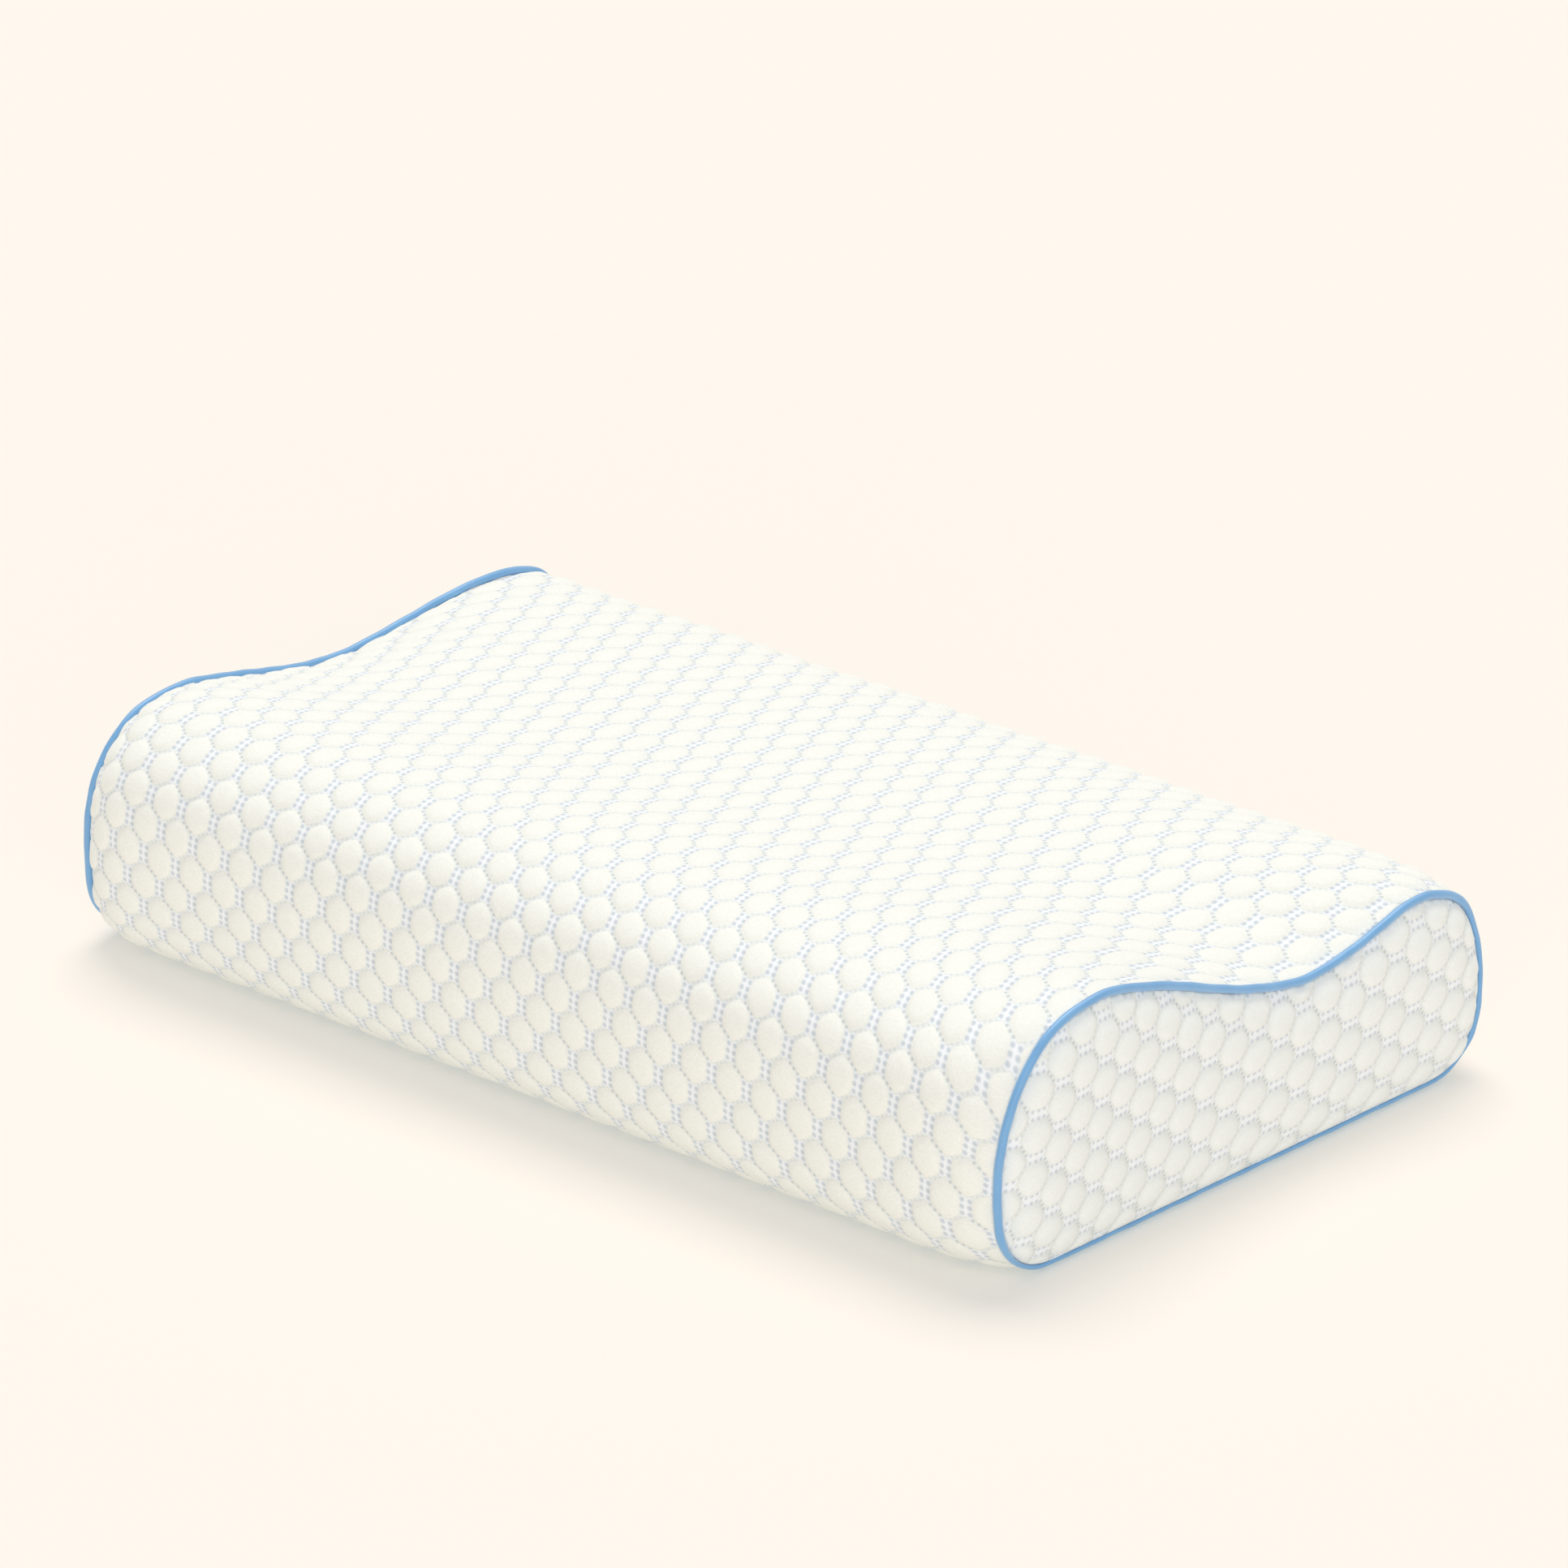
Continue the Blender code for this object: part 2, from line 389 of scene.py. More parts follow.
# %% [markdown]
# Many cells, one cloth
# Cells laid side by side have to share the points of their outlines, or the cloth would be loose tiles. Every
# outline point sits on a simple fraction of the lattice, so rounding its place gives a key, and points with
# one key are one point. On the wrap the last row meets the first, and the rows are counted round.

# %% Join cells into a cloth
KEY_STEPS = (6, 1000)
TINY = 1e-9


def lay_cells(groups, pad_half, rows_round=0):
    """Cells as one net: points, pad shares, ribs, the cell of each point, the faces and their cells.

    A group is an array of cell centres and the rings for its pads. A face is a row of point numbers, with -1
    for a triangle's missing fourth corner. With rows_round the row of that number is the first row again."""
    parts = []
    points_before = cells_before = 0
    for centres, pad_rings in groups:
        points, pad, rib, faces = draw_cell(pad_rings, pad_half)
        cells, count = len(centres), len(points)
        start = points_before + np.arange(cells)[:, None, None] * count
        parts.append((
            (centres[:, None] + points[None]).reshape(-1, 2),
            np.tile(pad, cells),
            np.tile(rib, cells),
            np.repeat(np.arange(cells) + cells_before, count),
            np.tile(np.arange(count) < len(cell_outline()), cells),
            np.where(faces[None] < 0, -1, faces[None] + start).reshape(-1, 4),
            np.repeat(np.arange(cells) + cells_before, len(faces)),
        ))
        points_before += cells * count
        cells_before += cells
    places, pad, rib, owner, shared, faces, face_cell = (np.concatenate(part) for part in zip(*parts))
    home = places.copy()
    if rows_round:
        home[:, 1] = np.mod(home[:, 1] + TINY, rows_round)
    keys = np.round(home * KEY_STEPS).astype(np.int64)
    keys = np.column_stack([keys, np.where(shared, -1, np.arange(len(places)))])
    _, first, number = np.unique(keys, axis=0, return_index=True, return_inverse=True)
    faces = np.where(faces < 0, -1, number.reshape(-1)[faces])
    return home[first], pad[first], rib[first], owner[first], faces, face_cell


def keep_used(faces, *arrays):
    """The faces renumbered for the points that they use, and each array with just those points."""
    used = np.unique(faces[faces >= 0])
    renumber = np.full(faces.max() + 1, -1)
    renumber[used] = np.arange(len(used))
    return np.where(faces < 0, -1, renumber[faces]), *[a[used] for a in arrays]


def open_edges(faces):
    """The edges that one face alone uses, in that face's direction."""
    starts, ends = [], []
    for a, b in ((0, 1), (1, 2), (2, 3), (3, 0)):
        start = faces[:, a]
        end = np.where(faces[:, b] < 0, faces[:, 0], faces[:, b])
        real = (start >= 0) & (start != end)
        starts.append(start[real])
        ends.append(end[real])
    edges = np.column_stack([np.concatenate(starts), np.concatenate(ends)])
    _, index, uses = np.unique(np.sort(edges, axis=1), axis=0, return_index=True, return_counts=True)
    return edges[index[uses == 1]]


def make_mesh(name, points, faces, uv, layer, pad=None):
    """A smooth-shaded object from points, faces, one UV pair per corner of each face, and its pad shares."""
    corners = faces >= 0
    mesh = bpy.data.meshes.new(name)
    mesh.from_pydata(points.tolist(), [], [face[face >= 0].tolist() for face in faces])
    mesh.uv_layers.new(name=layer).data.foreach_set("uv", uv[corners].ravel())
    if pad is not None:
        mesh.attributes.new("pad", "FLOAT", "POINT").data.foreach_set("value", pad)
    mesh.shade_smooth()
    piece = bpy.data.objects.new(name, mesh)
    bpy.context.scene.collection.objects.link(piece)
    return piece


print("outline points fall on sixths of a cell's width")

# %% [markdown]
# The wrap
# The wrap is cut a little longer than the foam, closed along the back and pulled on like a sleeve. It could
# be made by a cloth simulation over the foam, but a tight knit on foam takes the foam's own form, and a
# simulation would blur the cells. So the flat lattice is cut at both end seams, wrapped by the tape's marks
# and lifted off the skin by the height of its pads. Beside a seam the pads are pulled flat, and on the
# underside they are pressed up against the foam by what the pillow lies on.

# %% Cut and wrap the panel
PIPING_RADIUS = 1.75 * MM
PIPING_GAP = 0.1 * MM
WRAP_END = SEAM_SPAN / 2 - PIPING_RADIUS - PIPING_GAP
PAD_HEIGHT = 1.3 * MM
PAD_VARIES = 0.08
UNDER_PAD_SHARE = 0.5
SKIN_SINK = 0.5 * MM
SEAM_FADE = 6 * MM
LEFT_SEAM_RISE = -0.8 * MM
RIGHT_SEAM_RISE = 0.5 * MM
PUCKER = 0.2 * MM
PUCKER_WAVE = 2.6 * MM
PUCKER_DRIFT = 11 * MM
PUCKER_REACH = (2 * MM, 16 * MM)
SLACK = 0.3 * MM
SLACK_WAVES = (17 * MM, 60 * MM, 23 * MM)
TURNED_UNDER = 0.8
rng = np.random.default_rng(7)


def ease(value, low, high):
    """0 at low, 1 at high, and smooth between them."""
    t = np.clip((value - low) / (high - low), 0, 1)
    return t * t * (3 - 2 * t)


def wrapped(x, w, lift):
    """Points of the wrap, lifted off the skin. It dips at the left seam and climbs at the right one."""
    from_seam = SEAM_SPAN / 2 - np.abs(x)
    normal = outward(x, w)
    beside_seam = 1 - ease(from_seam, *PUCKER_REACH)
    pucker = PUCKER * np.sin(w / PUCKER_WAVE + 2 * np.sin(w / PUCKER_DRIFT)) * beside_seam
    lengthwise, drift, around = SLACK_WAVES
    slack = SLACK * np.sin(x / lengthwise + 3 * np.sin(w / drift)) * np.sin(w / around)
    rise = np.where(x > 0, RIGHT_SEAM_RISE, LEFT_SEAM_RISE) * (1 - ease(from_seam, 0, SEAM_FADE))
    under = ease(-normal[:, 2], 0.0, TURNED_UNDER)
    height = lift * (1 - (1 - UNDER_PAD_SHARE) * under) - SKIN_SINK + rise + (pucker + slack) * (1 - under)
    spots = on_pillow(x, w) + normal * height[:, None]
    spots[:, 2] = np.maximum(spots[:, 2], 0.0)
    return spots


reach = int(SEAM_SPAN / 2 / fine_columns.min()) + 2
centres = np.array([(c + r % 2 / 2, r) for r in range(ROWS) for c in range(-reach, reach + 1)], float)
centre_x, centre_w = unrolled(*centres.T)
near = np.abs(centre_x) < SEAM_SPAN / 2 + CELL_WIDE
hidden = np.mod(centre_w, GIRTH) > TAPE_MARKS[SPANS - 1]
groups = ((centres[near & ~hidden], PAD_RINGS), (centres[near & hidden], HIDDEN_PAD_RINGS))
centres = np.concatenate([group for group, _ in groups])
places, pad, rib, owner, faces, face_cell = lay_cells(groups, PAD_HALF, ROWS)
x, w = unrolled(*places.T)
cut_x = np.clip(x, -WRAP_END, WRAP_END)
outside = np.abs(x) >= WRAP_END
kept = ~np.where(faces < 0, True, outside[faces]).all(axis=1)
faces, cut_x, w, pad, rib, owner = keep_used(faces[kept], cut_x, w, pad, rib, owner)
face_cell = face_cell[kept]
cell_height = PAD_HEIGHT * (1 + PAD_VARIES * rng.uniform(-1, 1, len(centres)))
flatten = ease(SEAM_SPAN / 2 - np.abs(cut_x), PIPING_RADIUS, SEAM_FADE + PIPING_RADIUS)
lift = (pad * cell_height[owner] + rib) * flatten
points = wrapped(cut_x, w, lift)
offset = lattice_of(cut_x, w)[faces] - centres[face_cell][:, None]
offset[..., 1] -= ROWS * np.round(offset[..., 1] / ROWS)
uv = offset * (CELL_WIDE, CELL_HIGH) / MM
print("the wrap has", len(centres), "cells and", len(faces), "faces before its ends are closed")

# %% [markdown]
# The wrap's ends
# At each end the wrap turns in beside the piping and closes behind the end panel, so that the piece is a
# closed form, as the filled pillow is. The open edge is copied inwards once as the seam allowance, and a
# fan of faces closes it.

# %% Turn in and close the wrap's ends
ALLOWANCE_END = SEAM_SPAN / 2 - 1.0 * MM
ALLOWANCE_DIP = PIPING_RADIUS + PIPING_GAP
edge = open_edges(faces)
rim = np.unique(edge)
inner = np.full(len(points), -1)
inner[rim] = len(points) + np.arange(len(rim))
rim_side = np.sign(cut_x[rim])
rim_x = rim_side * ALLOWANCE_END
rim_points = on_pillow(rim_x, w[rim]) - outward(rim_x, w[rim]) * ALLOWANCE_DIP
rim_points[:, 0] = rim_x
hubs = np.array([[side * ALLOWANCE_END, 0.0, rim_points[:, 2].mean()] for side in (-1, 1)])
strip = np.column_stack([edge[:, 1], edge[:, 0], inner[edge[:, 0]], inner[edge[:, 1]]])
hub = len(points) + len(rim) + (cut_x[edge[:, 0]] > 0)
fan = np.column_stack([inner[edge[:, 1]], inner[edge[:, 0]], hub, np.full(len(edge), -1)])
wrap_points = np.concatenate([points, rim_points, hubs])
wrap_faces = np.concatenate([faces, strip, fan])
wrap_uv = np.concatenate([uv, np.zeros((len(strip) + len(fan), 4, 2))])
wrap_pad = np.concatenate([pad, np.zeros(len(rim) + len(hubs))])
wrap = make_mesh("cover_wrap", wrap_points, wrap_faces, wrap_uv, "cell", wrap_pad)
print("the wrap has", sum(len(p.vertices) - 2 for p in wrap.data.polygons), "triangles")

# %% [markdown]
# The end panels
# Each end is one cut panel of the same knit, turned a quarter, so its ladders run level instead of upright.
# The panel is stretched over the end of the foam, which pushes it out into a low crown. It could be filled
# in with an n-gon, but then it would have no cells. So the same lattice is laid flat, cut along the seam
# line and pushed out by how far a point lies from the seam.

# %% Cut the end panels
PANEL_UP = np.array([2.4, 17.0]) * MM
PANEL_ON = np.array([13.6, 0.9]) * MM
PANEL_STRETCH = ((-150, 0.88), (-100, 0.88), (-50, 0.96), (0, 1.12), (50, 1.04), (100, 0.95), (150, 0.93))
PIPING_TUCK = 0.9 * MM
TUCKED_RADIUS_SHARE = 0.62
TUCKED_DOWN = (0.3, 0.9)
TUCKED_BACK = (0.6, 1.0)
TUCKED_BACK_SHARE = 0.6
PANEL_BACK = 0.3 * MM
PANEL_CROWN = 5.58 * MM
PANEL_CROWN_REACH = 30 * MM
PANEL_THICKNESS = 1.2 * MM
PANEL_FADE = 4 * MM
PANEL_PAD_HEIGHT = 2.2 * MM
PANEL_RIM = 2 * MM
PANEL_OUTLINE_POINTS = 260
PANEL_ROWS = 18
PANEL_CELLS = 8
PANEL_REACH = 200 * MM
PANEL_STEPS = 400
panel_y = np.linspace(-PANEL_REACH, PANEL_REACH, PANEL_STEPS + 1)
stretch = np.interp(panel_y / MM, *np.array(PANEL_STRETCH).T)
panel_cloth = np.cumsum(1 / stretch) * (panel_y[1] - panel_y[0])
panel_cloth -= np.interp(0, panel_y, panel_cloth)


def seam_loop(side, count):
    """Points of an end seam as (y, z), and the direction in the end's plane that leads outwards."""
    w = np.linspace(0, GIRTH, count, endpoint=False)
    loop = on_pillow(np.full(count, side * SEAM_SPAN / 2), w)[:, 1:]
    along = np.roll(loop, -1, axis=0) - np.roll(loop, 1, axis=0)
    along /= np.linalg.norm(along, axis=1)[:, None]
    return loop, np.stack([-along[:, 1], along[:, 0]], axis=1)


def tucked(out):
    """How far the piping is pulled in, from 0 to 1, where its seam faces down or back."""
    back, up = out.T
    return np.maximum(ease(-up, *TUCKED_DOWN), TUCKED_BACK_SHARE * ease(back, *TUCKED_BACK))


def nearest_on(outline, spots):
    """The nearest point of a closed outline to each spot, its distance, and whether the spot is inside."""
    start, after = outline, np.roll(outline, -1, axis=0)
    side = after - start
    best = np.full(len(spots), np.inf)
    nearest = np.zeros((len(spots), 2))
    crossings = np.zeros(len(spots), int)
    for a, b, ab in zip(start, after, side):
        t = np.clip(((spots - a) @ ab) / (ab @ ab), 0, 1)
        foot = a + t[:, None] * ab
        away = np.linalg.norm(spots - foot, axis=1)
        closer = away < best
        best[closer], nearest[closer] = away[closer], foot[closer]
        between = (a[1] > spots[:, 1]) != (b[1] > spots[:, 1])
        rise = ab[1] if ab[1] != 0 else 1.0
        crossings += between & (spots[:, 0] < a[0] + ab[0] * (spots[:, 1] - a[1]) / rise)
    return nearest, best, crossings % 2 == 1


def end_panel(name, side):
    """One end panel as a closed sheet: its padded face, its turned rim and its plain back."""
    loop, out = seam_loop(side, PANEL_OUTLINE_POINTS)
    inset = PIPING_RADIUS * (1 - (1 - TUCKED_RADIUS_SHARE) * tucked(out)) + PIPING_GAP
    outline = loop - out * inset[:, None]
    axes = np.stack([PANEL_UP, PANEL_ON])
    low, high = outline.min(axis=0), outline.max(axis=0)
    middle = (low + high) / 2
    rows, cells = range(-PANEL_ROWS, PANEL_ROWS + 1), range(-PANEL_CELLS, PANEL_CELLS + 1)
    centres = np.array([(c + r % 2 / 2, r) for r in rows for c in cells], float)
    spots = middle + centres @ axes
    centres = centres[((spots > low - 2 * CELL_WIDE) & (spots < high + 2 * CELL_WIDE)).all(axis=1)]
    places, pad, rib, owner, faces, face_cell = lay_cells([(centres, PAD_RINGS)], ROUND_PAD_HALF)
    flat = middle + places @ axes
    flat[:, 0] = np.interp(flat[:, 0], panel_cloth, panel_y)
    nearest, away, inside = nearest_on(outline, flat)
    kept = np.where(faces < 0, False, inside[faces]).any(axis=1)
    flat = np.where(inside[:, None], flat, nearest)
    away = np.where(inside, away, 0.0)
    faces, flat, away, pad, rib, owner = keep_used(faces[kept], flat, away, pad, rib, owner)
    face_cell = face_cell[kept]
    cloth = np.column_stack([np.interp(flat[:, 0], panel_y, panel_cloth), flat[:, 1]])
    offset = (cloth - middle)[faces] @ np.linalg.inv(axes) - centres[face_cell][:, None]
    uv = offset * (CELL_WIDE, CELL_HIGH) / MM
    height = PANEL_PAD_HEIGHT * (1 + PAD_VARIES * rng.uniform(-1, 1, len(centres)))
    lift = (pad * height[owner] + rib) * ease(away, 0, PANEL_FADE)
    crown = PANEL_CROWN * (1 - (1 - np.clip(away / PANEL_CROWN_REACH, 0, 1)) ** 3)
    face_x = SEAM_SPAN / 2 - PANEL_BACK + crown
    front = np.column_stack([side * (face_x + lift), flat])
    back = np.column_stack([side * (face_x - PANEL_THICKNESS * ease(away, -PANEL_RIM, PANEL_RIM)), flat])
    count = len(front)
    edge = open_edges(faces)
    rim = np.column_stack([edge[:, 1], edge[:, 0], edge[:, 0] + count, edge[:, 1] + count])
    flipped = np.where(faces[:, 3:] < 0, faces[:, [0, 2, 1, 3]], faces[:, [0, 3, 2, 1]])
    flipped_uv = np.where(faces[:, 3:, None] < 0, uv[:, [0, 2, 1, 3]], uv[:, [0, 3, 2, 1]])
    all_faces = np.concatenate([faces, rim, np.where(flipped < 0, -1, flipped + count)])
    all_uv = np.concatenate([uv, np.zeros((len(rim), 4, 2)), flipped_uv])
    if side > 0:
        order = np.where(all_faces[:, 3:] < 0, [[0, 2, 1, 3]], [[0, 3, 2, 1]])
        all_faces = np.take_along_axis(all_faces, order, axis=1)
        all_uv = np.take_along_axis(all_uv, order[..., None], axis=1)
    all_points, all_pad = np.concatenate([front, back]), np.concatenate([pad, 0 * pad])
    return make_mesh(name, all_points, all_faces, all_uv, "cell", all_pad), outline


ends = {}
for word, side in (("left", -1), ("right", 1)):
    ends[word] = end_panel("panel_" + word, side)
    print(word, "end panel:", len(ends[word][0].data.polygons), "faces")

# %% [markdown]
# The piping
# The piping is a soft cord in a narrow bias strip of light blue jersey, caught in the end seam, so that it
# stands proud all the way round. It could be a curve with a bevel, but a swept tube in NumPy can also swell
# and wander by tenths of a millimetre, as a sewn cord does, and it carries its own lengthwise coordinates.

# %% Sweep the piping
PIPING_POINTS = 300
PIPING_SIDES = 16
PIPING_SWELL = 0.03
SWELL_WAVES = (37, 11)
PIPING_WANDER = 0.08 * MM
WANDER_WAVES = (23, 41)
LEFT_PIPING_OUT = 0.1 * MM


def piping(name, side):
    """One closed cord along an end seam, pulled in and thinner where the seam faces down or back."""
    loop, out = seam_loop(side, PIPING_POINTS)
    pull = tucked(out)
    turn = np.linspace(0, 2 * math.pi, PIPING_POINTS, endpoint=False)
    slow, fast = WANDER_WAVES
    wander = PIPING_WANDER * (np.sin(slow * turn) + np.sin(fast * turn + side))
    short, long = SWELL_WAVES
    radius = PIPING_RADIUS * (1 + PIPING_SWELL * np.sin(short * turn + 1) * np.sin(long * turn))
    radius *= 1 - (1 - TUCKED_RADIUS_SHARE) * pull
    angle = np.linspace(0, 2 * math.pi, PIPING_SIDES, endpoint=False)
    wander += (LEFT_PIPING_OUT if side < 0 else 0.0) * (1 - pull)
    outward_by = wander[:, None] + radius[:, None] * np.cos(angle)
    flat = loop[:, None] + out[:, None] * outward_by[..., None]
    x = side * (SEAM_SPAN / 2 - PIPING_TUCK * pull)[:, None] + radius[:, None] * np.sin(angle)
    points = np.concatenate([x[..., None], flat], axis=2).reshape(-1, 3)
    i, j = np.meshgrid(np.arange(PIPING_POINTS), np.arange(PIPING_SIDES), indexing="ij")
    ahead, beside = (i + 1) % PIPING_POINTS, (j + 1) % PIPING_SIDES
    corners = ((i, j), (i, beside), (ahead, beside), (ahead, j))
    faces = np.stack([(a * PIPING_SIDES + b).ravel() for a, b in corners], axis=1)
    length = np.linalg.norm(np.roll(loop, -1, axis=0) - loop, axis=1).sum()
    around = 2 * math.pi * PIPING_RADIUS
    lengths = [(i + a) * length / PIPING_POINTS for a in (0, 0, 1, 1)]
    rounds = [(j + b) * around / PIPING_SIDES for b in (0, 1, 1, 0)]
    uv = np.stack([np.stack([a.ravel(), b.ravel()], axis=-1) for a, b in zip(lengths, rounds)], axis=1) / MM
    print(name, "is", round(length / MM), "mm long")
    return make_mesh(name, points, faces, uv, "cord")


cords = {word: piping("cord_" + word, side) for word, side in (("left", -1), ("right", 1))}

# %% [markdown]
# Adding shader nodes
# One small function adds a node, sets its fields and links its inputs, which keeps the materials short.


# %% Add a node
def add(tree, kind, fields=None, **inputs):
    """A new node. Fields are its own settings, and inputs are values or sockets, by input name or index."""
    node = tree.nodes.new(kind)
    for name, value in (fields or {}).items():
        setattr(node, name, value)
    for name, value in inputs.items():
        socket = node.inputs[int(name[1:])] if name[1:].isdigit() else node.inputs[name.replace("_", " ")]
        if isinstance(value, bpy.types.NodeSocket):
            tree.links.new(value, socket)
        else:
            socket.default_value = value
    return node


print("a node's inputs can be given by name or, as i0, i1 and so on, by number")

# %% [markdown]
# Honeycomb air-layer knit
# The cover is polyester jersey, two layers that are knitted together round each pad and brushed on the face.
# The brushed pads are a warm matt white. Their fibres are finer than 0.1 mm, too fine for the picture, so the
# grain is drawn at 0.9 mm. The ladders are bare yarn and look cooler and brighter. The bare yarn in the joins
# is drawn greyer, as painted shade of the narrow grooves between the pads. The pin holes show the grey-blue
# layer below. Where the holes go is worked out from the place inside one cell, in millimetres. The UV layer
# carries that place, so the drawing always meets the relief. Of the joins, those that lean to the left show
# fainter holes. On the end panels the knit is stretched, so its holes are smaller, and its pads are painted a
# little cooler, which offsets the warm light that the floor throws on the ends.

# %% Make the knit's material
LADDER_HOLES = ((7.6, 0.0), (7.6, 2.9))
JOIN_HOLE_STEP = 2.5
HOLE_RIM = (0.3, 1.5)
HOLE_DEPTH = 0.35 * MM
# Holes in the joins that lean to the left are drawn at this share of their strength.
LEFT_JOIN_HOLE_SHARE = 0.4
JOIN_LEAN_REACH = 8.0
LADDER_REACH = (5.5, 8.0)
PAD_EDGE = 0.15
GRAIN_MM = 0.9
GRAIN_SHARE = 0.35
FAR_MM = 100.0
# The joins' yarn colour is greyer than the ladders', as painted shade of the narrow grooves between the pads.
JOIN_YARN_AND_SHADE = "#EDF0ED"
LADDER_YARN = "#F8FBFE"
join_middle = (side_start + side_end) / 2 / MM
JOIN_HOLES = [tuple((join_middle + s * JOIN_HOLE_STEP * JOIN_ALONG).tolist()) for s in (-1, 0, 1)]


def honeycomb_knit(name, ladder_hole, join_hole, pad_low, pad_high):
    """Brushed honeycomb jersey. Each kind of hole has a radius in mm, a colour and a strength."""
    material = bpy.data.materials.new(name)
    material.use_nodes = True
    tree = material.node_tree
    shader = tree.nodes["Principled BSDF"]
    mix = ("ShaderNodeMix", {"data_type": "RGBA"})
    soft_range = ("ShaderNodeMapRange", {"interpolation_type": "SMOOTHSTEP"})
    times = ("ShaderNodeMath", {"operation": "MULTIPLY"})

    place = add(tree, "ShaderNodeUVMap", {"uv_map": "cell"}).outputs[0]
    folded = add(tree, "ShaderNodeVectorMath", {"operation": "ABSOLUTE"}, i0=place).outputs[0]
    across, up, _ = add(tree, "ShaderNodeSeparateXYZ", i0=place).outputs
    slant = add(tree, *times, i0=across, i1=up).outputs[0]
    # Holes in the joins that lean to the left are drawn fainter.
    lean = {"i1": -JOIN_LEAN_REACH, "i2": JOIN_LEAN_REACH, "i3": LEFT_JOIN_HOLE_SHARE, "i4": 1.0}
    join_hole_share = add(tree, "ShaderNodeMapRange", i0=slant, **lean).outputs[0]
    from_middle = add(tree, "ShaderNodeSeparateXYZ", i0=folded).outputs[0]
    coordinate = add(tree, "ShaderNodeTexCoord").outputs["Object"]
    grain = add(tree, "ShaderNodeTexNoise", Vector=coordinate, Scale=1000 / GRAIN_MM, Detail=2.0).outputs[0]
    share = add(tree, "ShaderNodeAttribute", {"attribute_name": "pad"}).outputs["Fac"]
    on_pad = add(tree, *soft_range, i0=share, i1=0.0, i2=PAD_EDGE).outputs[0]
    by_ladder = add(tree, *soft_range, i0=from_middle, i1=LADDER_REACH[0], i2=LADDER_REACH[1]).outputs[0]

    pads = add(tree, *mix, i0=grain, i6=linear(pad_low), i7=linear(pad_high)).outputs[2]
    # In the joins the bare yarn is drawn greyer than on the ladders, as painted shade of the grooves between
    # the pads.
    bare = add(tree, *mix, i0=by_ladder, i6=linear(JOIN_YARN_AND_SHADE), i7=linear(LADDER_YARN)).outputs[2]
    cloth = add(tree, *mix, i0=on_pad, i6=bare, i7=pads).outputs[2]
    height = add(tree, *times, i0=grain, i1=GRAIN_SHARE).outputs[0]
    for spots, seen, hole in ((LADDER_HOLES, 1.0, ladder_hole), (JOIN_HOLES, join_hole_share, join_hole)):
        radius, colour, strength = hole
        nearest = FAR_MM
        for spot in spots:
            to_spot = {"i0": folded, "i1": (*spot, 0.0)}
            away = add(tree, "ShaderNodeVectorMath", {"operation": "DISTANCE"}, **to_spot).outputs["Value"]
            nearest = add(tree, "ShaderNodeMath", {"operation": "MINIMUM"}, i0=away, i1=nearest).outputs[0]
        rim = {"i1": HOLE_RIM[0] * radius, "i2": HOLE_RIM[1] * radius, "i3": strength, "i4": 0.0}
        depth = add(tree, *soft_range, i0=nearest, **rim).outputs[0]
        depth = add(tree, *times, i0=depth, i1=seen).outputs[0]
        cloth = add(tree, *mix, i0=depth, i6=cloth, i7=linear(colour)).outputs[2]
        height = add(tree, "ShaderNodeMath", {"operation": "SUBTRACT"}, i0=height, i1=depth).outputs[0]
    tree.links.new(cloth, shader.inputs["Base Color"])
    bump = add(tree, "ShaderNodeBump", Strength=0.5, Distance=HOLE_DEPTH, Height=height)
    tree.links.new(bump.outputs[0], shader.inputs["Normal"])
    shader.inputs["Roughness"].default_value = 0.92
    shader.inputs["IOR"].default_value = 1.5
    shader.inputs["Specular IOR Level"].default_value = 0.2
    shader.inputs["Sheen Weight"].default_value = 0.15
    shader.inputs["Sheen Roughness"].default_value = 0.5
    shader.inputs["Sheen Tint"].default_value = linear("#FFFDF5")
    return material


knit = honeycomb_knit("honeycomb_knit", (1.05, "#B0BDC9", 0.6), (0.7, "#BDC5C8", 0.65), "#EDEEE6", "#FFFFFA")
# The end panels' pads are painted a little cooler than the wrap's, to offset the warm light that the floor
# throws on the ends.
stretched_knit_painted_cool = honeycomb_knit(
    "honeycomb_knit_stretched_painted_cool", (0.8, "#BAC4CE", 0.55), (0.65, "#BCC5CC", 0.65), "#EEF1EE", "#FBFDFB"
)
wrap.data.materials.append(knit)
for panel, _ in ends.values():
    panel.data.materials.append(stretched_knit_painted_cool)
print("the knit's material has", len(knit.node_tree.nodes), "nodes")

# %% [markdown]
# Jersey-covered piping cord
# The cord's strip is fine polyester jersey cut on the bias. It is a clear light blue with a faint satin
# gleam, and its stitches run round the cord at an angle. The grooves between the stitches are drawn darker,
# as painted shade. The real stitches are about 0.3 mm, too fine for the picture, so they are drawn at 0.8 mm.

# %% Make the piping's material
STITCH_MM = 0.8
STITCH_SLANT = 0.7
PATCHES_PER_METRE = 60.0
JERSEY_LOW = "#62A2D9"
JERSEY_HIGH = "#80B9E8"
# The stitch grooves' colour is painted shade.
JERSEY_GROOVE_SHADE = "#5292C9"
GROOVE_SHADE_STRENGTH = 0.12
STITCH_DEPTH = 0.1 * MM


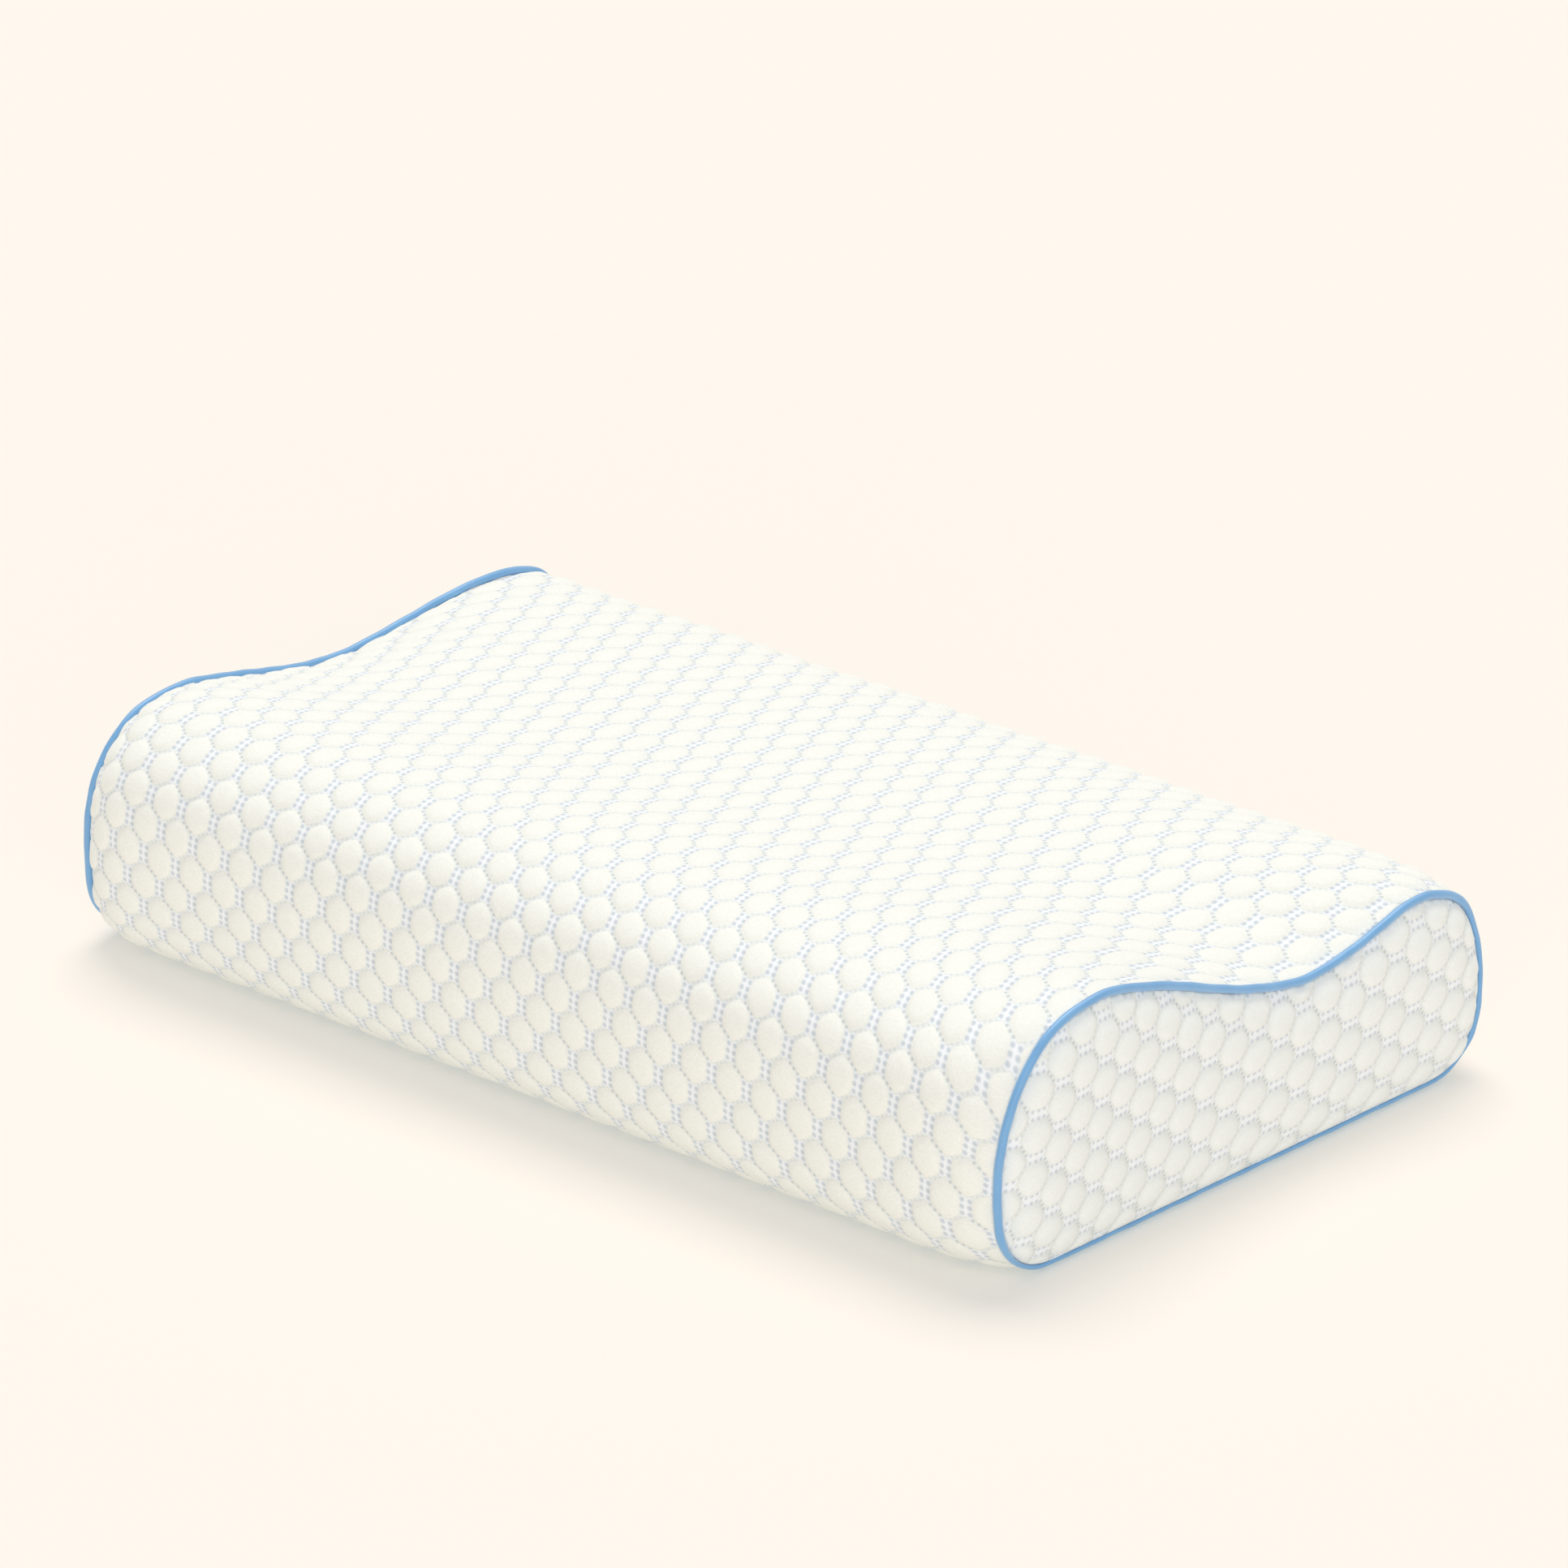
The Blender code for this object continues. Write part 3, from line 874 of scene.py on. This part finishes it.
def piping_jersey():
    """Light blue bias jersey over a soft cord."""
    material = bpy.data.materials.new("piping_jersey")
    material.use_nodes = True
    tree = material.node_tree
    shader = tree.nodes["Principled BSDF"]
    mix = ("ShaderNodeMix", {"data_type": "RGBA"})
    place = add(tree, "ShaderNodeUVMap", {"uv_map": "cord"}).outputs[0]
    turn = 2 * math.pi / STITCH_MM
    slant = (turn, STITCH_SLANT * turn, 0.0)
    phase = add(tree, "ShaderNodeVectorMath", {"operation": "DOT_PRODUCT"}, i0=place, i1=slant)
    rows = add(tree, "ShaderNodeMath", {"operation": "SINE"}, i0=phase.outputs["Value"]).outputs[0]
    coordinate = add(tree, "ShaderNodeTexCoord").outputs["Object"]
    patch = add(tree, "ShaderNodeTexNoise", Vector=coordinate, Scale=PATCHES_PER_METRE, Detail=2.0).outputs[0]
    colour = add(tree, *mix, i0=patch, i6=linear(JERSEY_LOW), i7=linear(JERSEY_HIGH)).outputs[2]
    # Painted shade: the grooves between the stitches are drawn darker.
    groove_shade = add(tree, "ShaderNodeMapRange", i0=rows, i1=-1.0, i2=1.0, i3=GROOVE_SHADE_STRENGTH, i4=0.0).outputs[0]
    colour = add(tree, *mix, i0=groove_shade, i6=colour, i7=linear(JERSEY_GROOVE_SHADE)).outputs[2]
    tree.links.new(colour, shader.inputs["Base Color"])
    bump = add(tree, "ShaderNodeBump", Strength=0.25, Distance=STITCH_DEPTH, Height=rows)
    tree.links.new(bump.outputs[0], shader.inputs["Normal"])
    shader.inputs["Roughness"].default_value = 0.4
    shader.inputs["IOR"].default_value = 1.5
    shader.inputs["Specular IOR Level"].default_value = 1.0
    shader.inputs["Sheen Weight"].default_value = 0.6
    shader.inputs["Sheen Roughness"].default_value = 0.4
    return material


jersey = piping_jersey()
for cord in cords.values():
    cord.data.materials.append(jersey)
print("the piping's material has", len(jersey.node_tree.nodes), "nodes")

# %% [markdown]
# Floor and light
# The pillow lies on a plain warm-white sheet in very soft light, so that even its front is nearly white.
# The sheet also glows a little, painted light that keeps its shadows pale and lights the pillow's lower
# front, and the glow is a little cooler than the lamps, which keeps the shadows grey. A bright sky gives the
# evenness.
# The key lamp hangs nearly overhead, so the pillow's shadow is short, and a weaker lamp near the camera fills
# the front and the end. A single lamp would make the front much darker than it is.

# %% Build the floor and the light
FLOOR_HALF = 8.0
FLOOR_BELOW = -0.2 * MM
# The sheet's glow is painted light that lifts its shadows.
SHEET_PAINTED_GLOW = 0.32
SHEET_COLOUR = "#D7C8BC"
SHEET_PAINTED_GLOW_COLOUR = "#EAFCFF"
SKY_STRENGTH = 0.55
LAMPS = {
    "key_lamp": {"energy": 1.48, "angle": 35, "comes_from": (-0.3, 0.32, 1.0)},
    "fill_lamp": {"energy": 0.84, "angle": 60, "comes_from": (0.74, -0.7, 0.42)},
}

corners = [(sx * FLOOR_HALF, sy * FLOOR_HALF, FLOOR_BELOW) for sx, sy in ((-1, -1), (1, -1), (1, 1), (-1, 1))]
floor_mesh = bpy.data.meshes.new("floor")
floor_mesh.from_pydata(corners, [], [(0, 1, 2, 3)])
floor = bpy.data.objects.new("floor", floor_mesh)
bpy.context.scene.collection.objects.link(floor)
sheet = bpy.data.materials.new("glowing_sheet")
sheet.use_nodes = True
sheet_shader = sheet.node_tree.nodes["Principled BSDF"]
sheet_shader.inputs["Base Color"].default_value = linear(SHEET_COLOUR)
sheet_shader.inputs["Roughness"].default_value = 1.0
sheet_shader.inputs["Specular IOR Level"].default_value = 0.0
# Painted light: the sheet glows a little, which keeps its shadows pale and grey.
sheet_shader.inputs["Emission Color"].default_value = linear(SHEET_PAINTED_GLOW_COLOUR)
sheet_shader.inputs["Emission Strength"].default_value = SHEET_PAINTED_GLOW
floor_mesh.materials.append(sheet)

world = bpy.data.worlds.new("soft_sky")
world.use_nodes = True
world.node_tree.nodes["Background"].inputs["Color"].default_value = linear("#FFFFFF")
world.node_tree.nodes["Background"].inputs["Strength"].default_value = SKY_STRENGTH
bpy.context.scene.world = world

for name, lamp in LAMPS.items():
    lamp_data = bpy.data.lights.new(name, "SUN")
    lamp_data.energy = lamp["energy"]
    lamp_data.angle = math.radians(lamp["angle"])
    lamp_data.color = linear("#FFFEFB")[:3]
    lamp_object = bpy.data.objects.new(name, lamp_data)
    lamp_object.rotation_mode = "QUATERNION"
    lamp_object.rotation_quaternion = Vector(lamp["comes_from"]).to_track_quat("Z", "Y")
    bpy.context.scene.collection.objects.link(lamp_object)
bpy.context.scene.view_settings.view_transform = "Standard"
print("one sky and", len(LAMPS), "lamps")

# %% [markdown]
# What each piece stands for
# Every piece rides on the pillow's one body and stands for its solid. The wrap is the filled pillow. The end
# panels are stretched sheets, each cut a little larger than the end that it covers. Each piping is sewn in
# all round, so it isn't a free cord.

# %% Tie the pieces to the solids
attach(wrap, "root")
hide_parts("pillow_body")
for word in ("left", "right"):
    panel, outline = ends[word]
    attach(panel, "root")
    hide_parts("end_panel_" + word)
    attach(cords[word], "root")
    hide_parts("piping_" + word)
